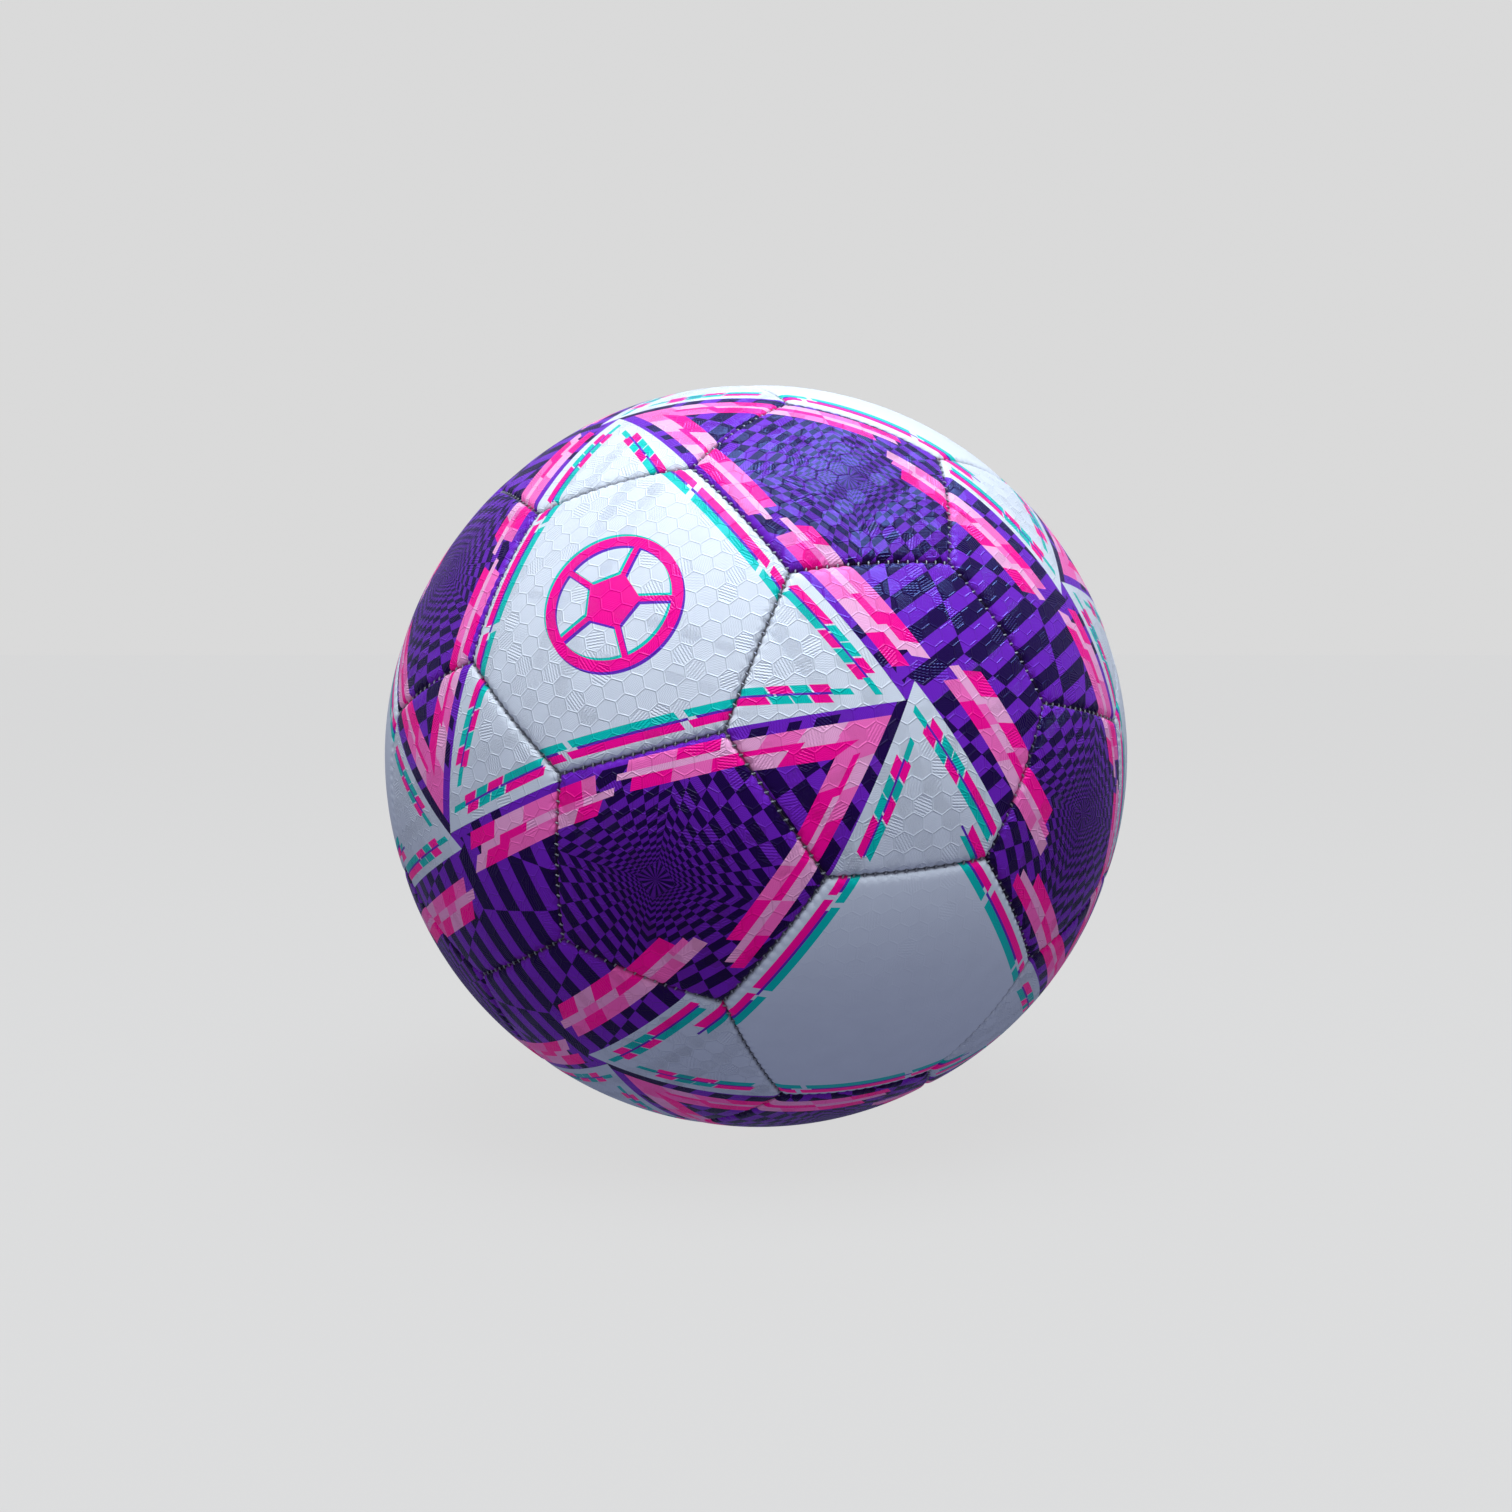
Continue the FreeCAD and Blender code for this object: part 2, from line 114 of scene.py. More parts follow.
# The inks, as the eye sees them, from 0 to 255
INKS = {
    "white": (232, 236, 243),
    "purple": (113, 36, 200),
    "dark": (28, 0, 74),
    "magenta": (255, 0, 150),
    "pink": (255, 118, 196),
    "light": (253, 184, 224),
    "teal": (0, 208, 194),
    "violet": (96, 44, 190),
    "gap": (128, 128, 128),
}


def ink(name, share=1.0):
    """An ink as the linear colour that Blender's nodes use, darkened to a share of itself."""
    levels = [value / 255 for value in INKS[name]]
    linear = [v / 12.92 if v < 0.04 else ((v + 0.055) / 1.055) ** 2.4 for v in levels]
    return (*[share * v for v in linear], 1.0)


# Where the panels are


def turned(x, y, z):
    """A direction and the two that follow from it when X, Y and Z change places in a ring."""
    return [Vector((x, y, z)), Vector((z, x, y)), Vector((y, z, x))]


def drawn_panels():
    """Each panel's CAD node, with its middle and the middle of its +X side's neighbour."""
    signs = (1, -1)
    pentagons, two_tones, whites = [], [], []
    for one in signs:
        for two in signs:
            middles = turned(0, one, two * GOLDEN)
            pentagons += zip(middles, turned(0, one * GOLDEN, two / GOLDEN))
            middles = turned(one / GOLDEN, 0, two * GOLDEN)
            two_tones += zip(middles, turned(-one / GOLDEN, 0, two * GOLDEN))
            for three in signs:
                aim = Vector((one / GOLDEN, 0, three * GOLDEN))
                whites.append((Vector((one, two, three)), aim))
    kinds = {"pentagon_panel": pentagons, "two_tone_panel": two_tones, "white_panel": whites}
    return {
        f"{kind}_{number:02d}": (middle, aim)
        for kind, pairs in kinds.items()
        for number, (middle, aim) in enumerate(pairs, start=1)
    }


def mesh_points(node):
    """A CAD node's vertices, from the ball's centre."""
    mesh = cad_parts[node].data
    flat = np.zeros(len(mesh.vertices) * 3, np.float32)
    mesh.vertices.foreach_get("co", flat)
    return flat.reshape(-1, 3) - np.array(CENTRE)


def lie_of_the_ball(panels):
    """The turn from the drawn panels to the frame's, which fits all their middles best."""
    drawn = np.array([middle.normalized() for middle, aim in panels.values()])
    placed = np.array([mesh_points(node).mean(axis=0) for node in panels])
    left, _, right = np.linalg.svd(placed.T @ drawn)
    return Matrix((left @ right).tolist())


PANELS = drawn_panels()
LIE = lie_of_the_ball(PANELS)


def panel_place(node):
    """The transform that takes a panel from its own axes to its place on the ball."""
    middle, aim = PANELS[node]
    up = (LIE @ middle).normalized()
    toward = LIE @ aim
    across = (toward - up * toward.dot(up)).normalized()
    turn = Matrix((across, up.cross(across), up)).transposed()
    return Matrix.Translation(CENTRE) @ turn.to_4x4()


# The panels' meshes


def along_the_seam():
    """The seam's sample angles from its middle, and how near each is to a stitch, 0 to 1."""
    count = STITCHES * SAMPLES_PER_STITCH
    share = (np.arange(count) + 0.5) / count
    nearness = (0.5 - 0.5 * np.cos(2 * math.pi * share * STITCHES)) ** 2
    return (share - 0.5) * SEAM_ANGLE, nearness


def round_the_panel(sides, reach):
    """The direction of each sample round a panel's edge, and its nearness to a stitch."""
    angles, nearness = along_the_seam()
    flat = np.tan(angles) * math.hypot(1, reach / BALL_RADIUS) * BALL_RADIUS
    one_side = np.arctan2(flat, reach)
    turns = [one_side + 2 * math.pi * side / sides for side in range(sides)]
    return np.concatenate(turns), np.tile(nearness, sides)


def ring_distance(directions, sides, side_at, sharpness):
    """How far a ring is from the panel's middle: a polygon with slightly rounded corners."""
    total = np.zeros(len(directions))
    for side in range(sides):
        facing = np.cos(directions - 2 * math.pi * side / sides)
        total += np.maximum(facing, 0) ** sharpness
    return side_at / total ** (1 / sharpness)


def surface_drop(inset, nearness):
    """How far the cover lies below the ball's surface, by its distance from the seam."""
    width = SHOULDER_WIDTH + SHOULDER_WIDER_AT_STITCH * nearness
    depth = GROOVE_DEPTH + GROOVE_DEEPER_AT_STITCH * nearness
    over = np.clip(1 - inset / width, 0, 1)
    shoulder = depth * (1 - np.sqrt(1 - over**2))
    return shoulder + PILLOW_DROP * np.exp(-inset / PILLOW_WIDTH)


def panel_rings(sides, reach, hub):
    """The rings of a panel from its turned-in edge to its hub: flat places, heights, insets."""
    directions, nearness = round_the_panel(sides, reach)
    facing = np.stack([np.cos(directions), np.sin(directions)], axis=1)
    stretch = 1 + (reach / BALL_RADIUS) ** 2
    rings = []
    for number in range(RINGS + 1):
        share = number / RINGS
        inset = (reach / stretch - hub) * share**RING_CROWDING
        notch = SEAM_GAP + STITCH_NOTCH * nearness * math.exp(-inset / NOTCH_WIDTH)
        at_edge = math.exp(-inset / CORNER_ROUNDING_WIDTH)
        sharpness = CORNER_SHARPNESS_INSIDE * (1 - at_edge) + CORNER_SHARPNESS_AT_EDGE * at_edge
        side_at = reach - stretch * (inset + notch)
        distance = ring_distance(directions, sides, side_at, sharpness)
        roundness = share**6
        distance = distance * (1 - roundness) + hub * roundness
        drop = surface_drop(np.full(len(directions), inset), nearness)
        rings.append((distance[:, None] * facing, BALL_RADIUS - drop, inset))
    flat, height, inset = rings[0]
    turned_in = [(flat, height - depth, 0.0) for depth in TURNED_IN]
    return turned_in + rings


def panel_master(name, sides, reach, hub, closed):
    """A panel's cover about its own axes: its outer skin, with the print's places on it."""
    rings = panel_rings(sides, reach, hub)
    count = len(rings[0][0])
    points, places, insets = [], [], []
    for flat, height, inset in rings:
        rays = np.column_stack([flat / BALL_RADIUS, np.ones(count)])
        rays /= np.linalg.norm(rays, axis=1)[:, None]
        points.append(rays * np.reshape(height, (-1, 1)) * MM)
        places.append(np.column_stack([flat, np.ones(count)]))
        insets.append(np.full(count, inset))
    faces = []
    for ring in range(len(rings) - 1):
        for number in range(count):
            following = (number + 1) % count
            outer, inner = ring * count, (ring + 1) * count
            corners = (outer + number, outer + following, inner + following, inner + number)
            faces.append(corners)
    if closed:
        centre = len(rings) * count
        last = centre - count
        points.append(np.array([[0, 0, BALL_RADIUS * MM]]))
        places.append(np.array([[0, 0, 1]]))
        insets.append(np.array([reach]))
        faces += [(last + n, last + (n + 1) % count, centre) for n in range(count)]
    mesh = bpy.data.meshes.new(name)
    mesh.from_pydata(np.concatenate(points).tolist(), [], faces)
    mesh.attributes.new("print_place", "FLOAT_VECTOR", "POINT")
    mesh.attributes["print_place"].data.foreach_set("vector", np.concatenate(places).ravel())
    mesh.attributes.new("seam_inset", "FLOAT", "POINT")
    mesh.attributes["seam_inset"].data.foreach_set("value", np.concatenate(insets))
    mesh.shade_smooth()
    return mesh


def add_piece(name, mesh, materials, replaced):
    """Puts a finished mesh in the scene as a piece that stands for some CAD nodes."""
    piece = bpy.data.objects.new(name, mesh)
    bpy.context.scene.collection.objects.link(piece)
    mesh.materials.clear()
    for material in materials:
        mesh.materials.append(material)
    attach(piece, "root")
    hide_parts(*replaced)
    return piece


def add_cover(node, master, materials):
    """One panel's cover, copied from its master and given the thickness of its cloth."""
    mesh = master.copy()
    mesh.transform(panel_place(node))
    piece = add_piece(f"{node}_cover", mesh, materials, [node])
    thickness = piece.modifiers.new("cover_thickness", "SOLIDIFY")
    thickness.thickness = COVER_THICKNESS * MM
    thickness.offset = -1
    thickness.material_offset = 1


# The thread


def side_frame(node, side, sides):
    """The middle of a panel's side, the way along its seam, and the way across it."""
    reach = PENTAGON_REACH if sides == 5 else HEXAGON_REACH
    turn = 2 * math.pi * side / sides
    flat = Vector((math.cos(turn) * reach, math.sin(turn) * reach, BALL_RADIUS))
    place = panel_place(node).to_3x3()
    middle = (place @ flat).normalized()
    along = place @ Vector((-math.sin(turn), math.cos(turn), 0))
    return np.array(middle), np.array(along), np.array(middle.cross(along))


def pentagon_seams():
    """Every seam round a pentagon."""
    nodes = [node for node in PANELS if node.startswith("pentagon")]
    return [side_frame(node, side, 5) for node in nodes for side in range(5)]


def hexagon_seams():
    """Every seam between two hexagons: round the white ones, and between two-tone pairs."""
    whites = [node for node in PANELS if node.startswith("white")]
    seams = [side_frame(node, side, 6) for node in whites for side in (0, 2, 4)]
    for node, (middle, aim) in PANELS.items():
        first_of_pair = tuple(middle) > tuple(aim)
        if node.startswith("two_tone") and first_of_pair:
            seams.append(side_frame(node, 0, 6))
    return seams


def thread_tube(path):
    """The points and faces of a length of twisted thread along a path of points."""
    path = np.array(path)
    ahead = np.gradient(path, axis=0)
    ahead /= np.linalg.norm(ahead, axis=1)[:, None]
    outward = path / np.linalg.norm(path, axis=1)[:, None]
    beside = np.cross(ahead, outward)
    beside /= np.linalg.norm(beside, axis=1)[:, None]
    above = np.cross(beside, ahead)
    points = []
    for step in range(len(path)):
        for corner in range(THREAD_SIDES):
            turn = 2 * math.pi * corner / THREAD_SIDES
            ply = 1 + PLY_DEPTH * math.cos(2 * turn - PLY_TURN * step)
            spoke = math.cos(turn) * beside[step] + math.sin(turn) * above[step]
            points.append(path[step] + THREAD_RADIUS * ply * spoke)
    faces = []
    for step in range(len(path) - 1):
        for corner in range(THREAD_SIDES):
            following = (corner + 1) % THREAD_SIDES
            near, far = step * THREAD_SIDES, (step + 1) * THREAD_SIDES
            faces.append((near + corner, near + following, far + following, far + corner))
    faces.append(tuple(range(THREAD_SIDES))[::-1])
    faces.append(tuple(range(len(points) - THREAD_SIDES, len(points))))
    return points, faces


def stitch_path(seam, angle):
    """One stitch: out of the hole in one panel's edge, over the seam and into the other's."""
    middle, along, across = seam
    path = []
    for share in np.linspace(-1, 1, STITCH_POINTS):
        turn = angle + STITCH_SLANT * share / BALL_RADIUS
        ray = middle * math.cos(turn) + along * math.sin(turn)
        height = BALL_RADIUS - STITCH_DEPTH - STITCH_RISE * share**2
        path.append(ray * height + across * STITCH_HALF_WIDTH * share)
    return path


def strand_path(seam):
    """The thread that runs along the foot of a seam and passes under each stitch."""
    middle, along, across = seam
    path = []
    for share in np.linspace(-0.5, 0.5, STRAND_POINTS):
        turn = share * SEAM_ANGLE
        ray = middle * math.cos(turn) + along * math.sin(turn)
        sway = STRAND_SWAY * math.sin(2 * math.pi * share * STITCHES)
        path.append(ray * (BALL_RADIUS - STRAND_DEPTH) + across * sway)
    return path


def add_thread(name, seams, material):
    """All the thread of some seams as one piece."""
    points, faces = [], []
    for seam in seams:
        tubes = [thread_tube(strand_path(seam))]
        for number in range(STITCHES):
            angle = ((number + 0.5) / STITCHES - 0.5) * SEAM_ANGLE
            tubes.append(thread_tube(stitch_path(seam, angle)))
        for tube_points, tube_faces in tubes:
            first = len(points)
            points += tube_points
            faces += [tuple(first + corner for corner in face) for face in tube_faces]
    mesh = bpy.data.meshes.new(name)
    placed = np.array(points) * MM + np.array(CENTRE)
    mesh.from_pydata(placed.tolist(), [], faces)
    mesh.shade_smooth()
    add_piece(f"{name}_stitches", mesh, [material], [name])


# The print's nodes

LAST_STOP = 0.9999


class Print:
    """A material in the making, whose inks are laid one over another on the flat pattern."""

    def __init__(self, name):
        self.material = bpy.data.materials.new(name)
        self.material.use_nodes = True
        self.tree = self.material.node_tree
        self.shader = self.tree.nodes["Principled BSDF"]
        attribute = self.node("ShaderNodeAttribute", attribute_name="print_place")
        self.place = attribute.outputs["Vector"]
        inset = self.node("ShaderNodeAttribute", attribute_name="seam_inset")
        self.inset = inset.outputs["Fac"]
        self.colour = ink("white")

    def node(self, kind, **settings):
        """A new node with its settings."""
        made = self.tree.nodes.new(kind)
        for name, value in settings.items():
            setattr(made, name, value)
        return made

    def give(self, socket, value):
        """Joins a socket to another one, or sets it to a plain value."""
        if isinstance(value, bpy.types.NodeSocket):
            self.tree.links.new(value, socket)
        else:
            socket.default_value = value

    def maths(self, operation, *values):
        """The result of one Math node."""
        made = self.node("ShaderNodeMath", operation=operation)
        for socket, value in zip(made.inputs, values):
            self.give(socket, value)
        return made.outputs[0]

    def vector_maths(self, operation, *values):
        """The vector result of one Vector Math node."""
        made = self.node("ShaderNodeVectorMath", operation=operation)
        for socket, value in zip(made.inputs, values):
            self.give(socket, value)
        return made.outputs["Vector"]

    def measure(self, by_x, by_y, base):
        """by_x times x, plus by_y times y, plus base, in a single node."""
        made = self.node("ShaderNodeVectorMath", operation="DOT_PRODUCT")
        self.give(made.inputs[0], self.place)
        made.inputs[1].default_value = (by_x, by_y, base)
        return made.outputs["Value"]

    def line_measure(self, start, heading, across=0.0, along=0.0, base=0.0):
        """How far a place is along a line, to its left, or along a slant of the two."""
        turn = math.radians(heading)
        by_x = along * math.cos(turn) - across * math.sin(turn)
        by_y = along * math.sin(turn) + across * math.cos(turn)
        return self.measure(by_x, by_y, base - by_x * start[0] - by_y * start[1])

    def left_of(self, start, heading):
        """1 to the left of a line and 0 to its right."""
        return self.maths("GREATER_THAN", self.line_measure(start, heading, across=1), 0.0)

    def both(self, *masks):
        """1 where every mask is 1."""
        result = masks[0]
        for mask in masks[1:]:
            result = self.maths("MULTIPLY", result, mask)
        return result

    def mixed(self, share, below, above):
        """The colour between two others at a share from 0 to 1."""
        mix = self.node("ShaderNodeMix", data_type="RGBA")
        self.give(mix.inputs["Factor"], share)
        self.give(mix.inputs[6], below)
        self.give(mix.inputs[7], above)
        return mix.outputs[2]

    def ramped(self, value, start, end, low, high, bend="LINEAR"):
        """A value carried from one range to another, and held at the ends of it."""
        made = self.node("ShaderNodeMapRange", interpolation_type=bend)
        for socket, given in zip(made.inputs, (value, start, end, low, high)):
            self.give(socket, given)
        return made.outputs[0]

    def apart(self, vector):
        """The X, Y and Z of a vector."""
        made = self.node("ShaderNodeSeparateXYZ")
        self.give(made.inputs[0], vector)
        return made.outputs

    def clouds(self, place, scale, detail):
        """An uneven cloud from 0 to 1, by scale in clouds to a unit."""
        made = self.node("ShaderNodeTexNoise", noise_dimensions="3D")
        made.inputs["Scale"].default_value = scale
        made.inputs["Detail"].default_value = detail
        self.give(made.inputs["Vector"], place)
        return made.outputs["Fac"]

    def raised(self, height, strength, depth):
        """The shader's surface, raised by a height, to a depth in millimetres."""
        made = self.node("ShaderNodeBump")
        made.inputs["Strength"].default_value = strength
        made.inputs["Distance"].default_value = depth * MM
        self.give(made.inputs["Height"], height)
        self.give(self.shader.inputs["Normal"], made.outputs["Normal"])

    def lay(self, colour, mask):
        """Lays an ink over what is printed so far, where a mask is 1."""
        self.colour = self.mixed(mask, self.colour, colour)

    def odd(self, number):
        """1 where a number's whole part is odd."""
        return self.maths("FLOORED_MODULO", self.maths("FLOOR", number), 2.0)

    def chequer(self, first, second, mask=1.0):
        """Purple and dark blocks where two counts cross, laid where a mask is 1."""
        parity = self.odd(self.maths("ADD", first, second))
        self.lay(self.mixed(parity, ink("purple"), ink("dark")), mask)

    def row(self, start, heading, near, far, blocks, slant=0.0, within=None):
        """A row of blocks beside a line: near and far are to the line's left, and each block
        is an ink and a length along the line. The ink called gap leaves what is below. The
        ends of the blocks slant by so much along the line for each unit across it."""
        whole = sum(length for name, length in blocks)
        middle, half = (near + far) / 2, abs(far - near) / 2
        lean = -slant / whole
        position = self.line_measure(start, heading, lean, 1 / whole, -lean * middle)
        beside = self.line_measure(start, heading, across=1)
        ramp = self.node("ShaderNodeValToRGB")
        ramp.color_ramp.interpolation = "CONSTANT"
        self.give(ramp.inputs["Fac"], position)
        stops = ramp.color_ramp.elements
        stops.remove(stops[0])
        reached = 0.0
        for number, (name, length) in enumerate([*blocks, ("gap", 0)]):
            stop = stops[0] if number == 0 else stops.new(reached / whole)
            stop.position = min(reached / whole, LAST_STOP)
            stop.color = (*ink(name)[:3], 0.0 if name == "gap" else 1.0)
            reached += length
        inside = self.maths("COMPARE", beside, middle, half)
        masks = [inside, ramp.outputs["Alpha"]] + ([within] if within else [])
        self.lay(ramp.outputs["Color"], self.both(*masks))

    def accents(self, start, heading, outer, begin=0.0):
        """The broken line inside a white triangle: magenta outside, teal inside, and a thin
        violet line between them. outer is 1 where the outside is to the line's left."""
        lead = 12.0
        back = math.radians(heading)
        origin = (start[0] - lead * math.cos(back), start[1] - lead * math.sin(back))
        first = ("gap", lead + begin)
        long_block = 15.0 - begin
        outside = [
            first, ("magenta", long_block), ("gap", 0.5), ("teal", 5.5), ("gap", 0.4),
            ("teal", 4.6), ("gap", 0.5), ("magenta", 5.0),
        ]
        inside = [
            first, ("teal", long_block - 0.6), ("gap", 0.6), ("magenta", 6.0), ("gap", 0.4),
            ("teal", 4.6), ("gap", 0.5), ("magenta", 5.0),
        ]
        between = [first, ("violet", long_block + 1.4), ("gap", 0.8), ("violet", 15.6)]
        tail = [("gap", lead + 31.6), ("teal", 5.4)]
        slant = 0.7 * outer
        self.row(origin, heading, 0.4 * outer, 2.5 * outer, outside, slant)
        self.row(origin, heading, -0.2 * outer, -2.2 * outer, inside, slant)
        self.row(origin, heading, -0.2 * outer, 0.4 * outer, between, slant)
        self.row(origin, heading, -1.0 * outer, 0.6 * outer, tail, slant)


CELL_SIZE = 5.5
RIDGE_WIDTH = 0.3
GRAIN_DEPTH = 0.28
RIBBED_SHARE = 0.3
RIB_PITCH = 0.8
RIB_BEND_WIDTH = 0.55
RIB_BEND_HEIGHT = 0.35
HATCH_PITCH = 0.45
HATCH_HEIGHT = 0.3
FILLING_HEIGHT = 0.42
CREASE_SCALE = 0.9
CREASE_DETAIL = 3.0
CREASE_HEIGHT = 0.3
PENTAGON_GRAIN = 0.7
TWO_TONE_GRAIN = 0.6
DEEP_WHITE_GRAIN = 0.6
SHALLOW_WHITE_GRAIN = 0.12


def cells(paint, size):
    """A honeycomb on the flat pattern: each place's offset in its cell, and the cell's own
    place. Two square grids, half a step apart, share the cells between them."""
    step = (size * math.sqrt(3), size, 1.0)
    half = tuple(length / 2 for length in step)
    back = tuple(-length for length in half)
    one = paint.vector_maths("WRAP", paint.place, half, back)
    shifted = paint.vector_maths("SUBTRACT", paint.place, half)
    other = paint.vector_maths("WRAP", shifted, half, back)
    flat = (1.0, 1.0, 0.0)
    one = paint.vector_maths("MULTIPLY", one, flat)
    other = paint.vector_maths("MULTIPLY", other, flat)
    lengths = []
    for vector in (one, other):
        made = paint.node("ShaderNodeVectorMath", operation="LENGTH")
        paint.give(made.inputs[0], vector)
        lengths.append(made.outputs["Value"])
    nearer = paint.maths("LESS_THAN", lengths[0], lengths[1])
    choice = paint.node("ShaderNodeMix", data_type="VECTOR")
    paint.give(choice.inputs["Factor"], nearer)
    paint.give(choice.inputs[4], other)
    paint.give(choice.inputs[5], one)
    offset = choice.outputs[1]
    return offset, paint.vector_maths("SUBTRACT", paint.place, offset)


def waves(paint, offset, angle, pitch):
    """Zigzag ridges across a cell at an angle, from -1 to 1."""
    turn = paint.node("ShaderNodeVectorRotate", rotation_type="Z_AXIS")
    paint.give(turn.inputs["Vector"], offset)
    paint.give(turn.inputs["Angle"], angle)
    x, y, _ = paint.apart(turn.outputs[0])
    bend = paint.maths("PINGPONG", x, RIB_BEND_WIDTH)
    height = paint.maths("ADD", y, paint.maths("MULTIPLY", bend, RIB_BEND_HEIGHT))
    return paint.maths("SINE", paint.maths("MULTIPLY", height, 2 * math.pi / pitch))


def emboss(paint, strength):
    """The cover's grain: a raised honeycomb whose cells are plain, ribbed or hatched."""
    offset, middle = cells(paint, CELL_SIZE)
    size = paint.vector_maths("ABSOLUTE", offset)
    sides = paint.node("ShaderNodeVectorMath", operation="DOT_PRODUCT")
    paint.give(sides.inputs[0], size)
    sides.inputs[1].default_value = (math.sqrt(3) / 2, 0.5, 0.0)
    _, y, _ = paint.apart(size)
    reach = paint.maths("MAXIMUM", sides.outputs["Value"], y)
    foot, top = CELL_SIZE / 2 - RIDGE_WIDTH, CELL_SIZE / 2
    ridge = paint.ramped(reach, foot, top, 0.0, 1.0, "SMOOTHSTEP")
    chance = paint.node("ShaderNodeTexWhiteNoise", noise_dimensions="2D")
    paint.give(chance.inputs["Vector"], middle)
    draw = chance.outputs["Value"]
    turns = paint.maths("FRACT", paint.maths("MULTIPLY", draw, 7.0))
    angle = paint.maths("MULTIPLY", turns, math.pi)
    ribbed = paint.maths("LESS_THAN", draw, RIBBED_SHARE)
    ribs = paint.maths("MULTIPLY", waves(paint, offset, angle, RIB_PITCH), ribbed)
    hatch = paint.maths("MULTIPLY", waves(paint, offset, angle, HATCH_PITCH), HATCH_HEIGHT)
    inside = paint.maths("LESS_THAN", reach, foot)
    filled = paint.maths("MULTIPLY", paint.maths("ADD", ribs, hatch), inside)
    height = paint.maths("ADD", ridge, paint.maths("MULTIPLY", filled, FILLING_HEIGHT))
    creases = paint.clouds(paint.place, CREASE_SCALE, CREASE_DETAIL)
    height = paint.maths("ADD", height, paint.maths("MULTIPLY", creases, CREASE_HEIGHT))
    paint.raised(height, strength, GRAIN_DEPTH)


# Painted shade along the foot of each seam: its near-black colour, how far from the seam it reaches
# in millimetres, and its share at the seam.
PAINTED_SEAM_SHADE = (0.06, 0.05, 0.06, 1.0)
PAINTED_SEAM_SHADE_WIDTH = 0.7
PAINTED_SEAM_SHADE_SHARE = 0.5
CLOUD_SCALE = 0.12
CLOUD_DETAIL = 4.0
CLOUD_RANGE = (0.3, 0.7)
CLOUD_TINT = 0.04
ROUGHNESS_RANGE = (0.28, 0.38)
SPECULAR_LEVEL = 0.11
# Painted glow: an emission on the pink inks with no lamp behind it, standing in for fluorescent
# ink.
PAINTED_GLOW = 0.13
PAINTED_GLOW_COLOUR = (1.0, 0.0, 0.22, 1.0)


def finish_cover(paint, strength):
    """Painted shade along the foot of every seam, the uneven gloss and the grain that every cover
    has, and a painted glow on its pink inks, which are taken to be fluorescent: light they give off
    whatever lamp falls on them."""
    # Painted shade: darkens the cover towards the foot of each seam.
    painted_seam_shade = paint.ramped(paint.inset, 0.0, PAINTED_SEAM_SHADE_WIDTH, PAINTED_SEAM_SHADE_SHARE, 0.0, "SMOOTHSTEP")
    paint.lay(PAINTED_SEAM_SHADE, painted_seam_shade)
    cloud = paint.clouds(paint.place, CLOUD_SCALE, CLOUD_DETAIL)
    paint.lay(ink("dark"), paint.ramped(cloud, *CLOUD_RANGE, 0.0, CLOUD_TINT))
    paint.give(paint.shader.inputs["Base Color"], paint.colour)
    roughness = paint.ramped(cloud, *CLOUD_RANGE, *ROUGHNESS_RANGE)
    paint.give(paint.shader.inputs["Roughness"], roughness)
    emboss(paint, strength)
    paint.shader.inputs["Specular IOR Level"].default_value = SPECULAR_LEVEL
    # Painted glow: the redder an ink, the more light it gives off of its own, whatever the lamps
    # do.
    parts = paint.node("ShaderNodeSeparateColor")
    paint.give(parts.inputs[0], paint.colour)
    redness = paint.maths("SUBTRACT", parts.outputs["Red"], parts.outputs["Green"])
    painted_glow = paint.maths("MULTIPLY", paint.maths("MAXIMUM", redness, 0.0), PAINTED_GLOW)
    paint.give(paint.shader.inputs["Emission Strength"], painted_glow)
    paint.shader.inputs["Emission Color"].default_value = PAINTED_GLOW_COLOUR
    return paint.material


TUNNEL_EYE = (-3.9, 1.35)
TUNNEL_STEP = 1.112
TUNNEL_SLICES = 4.0
FIRST_RING = 8.33
STAR_RADIUS = 3.5
SHADE_REACH = (2.0, 34.0)
SHADED_PURPLE = 0.55
SHADED_DARK = 0.8


def tunnel(paint):
    """A square tunnel of purple and dark blocks, seen down its length to a star."""
    x = paint.measure(1, 0, -TUNNEL_EYE[0])
    y = paint.measure(0, 1, -TUNNEL_EYE[1])
    wide = paint.maths("ABSOLUTE", x)
    high = paint.maths("ABSOLUTE", y)
    far = paint.maths("MAXIMUM", wide, high)
    on_sides = paint.maths("GREATER_THAN", wide, high)
    not_right = paint.maths("LESS_THAN", x, high)
    crosswise = paint.node("ShaderNodeMix", data_type="FLOAT")
    paint.give(crosswise.inputs["Factor"], on_sides)
    paint.give(crosswise.inputs[2], x)
    paint.give(crosswise.inputs[3], y)
    share = paint.maths("DIVIDE", crosswise.outputs[0], far)
    slice_at = paint.maths("MULTIPLY", share, TUNNEL_SLICES)
    sector = paint.maths("ADD", paint.maths("FLOOR", slice_at), not_right)
    steps = paint.maths("LOGARITHM", paint.maths("DIVIDE", far, FIRST_RING), TUNNEL_STEP)
    ring = paint.maths("FLOOR", steps)
    outside = paint.maths("GREATER_THAN", far, STAR_RADIUS)
    parity = paint.odd(paint.maths("ADD", sector, paint.maths("MULTIPLY", ring, outside)))
    nearness = paint.ramped(far, *SHADE_REACH, 0.0, 1.0)
    purple = paint.mixed(nearness, ink("purple", SHADED_PURPLE), ink("purple"))
    dark = paint.mixed(nearness, ink("dark", SHADED_DARK), ink("dark"))
    paint.colour = paint.mixed(parity, dark, purple)


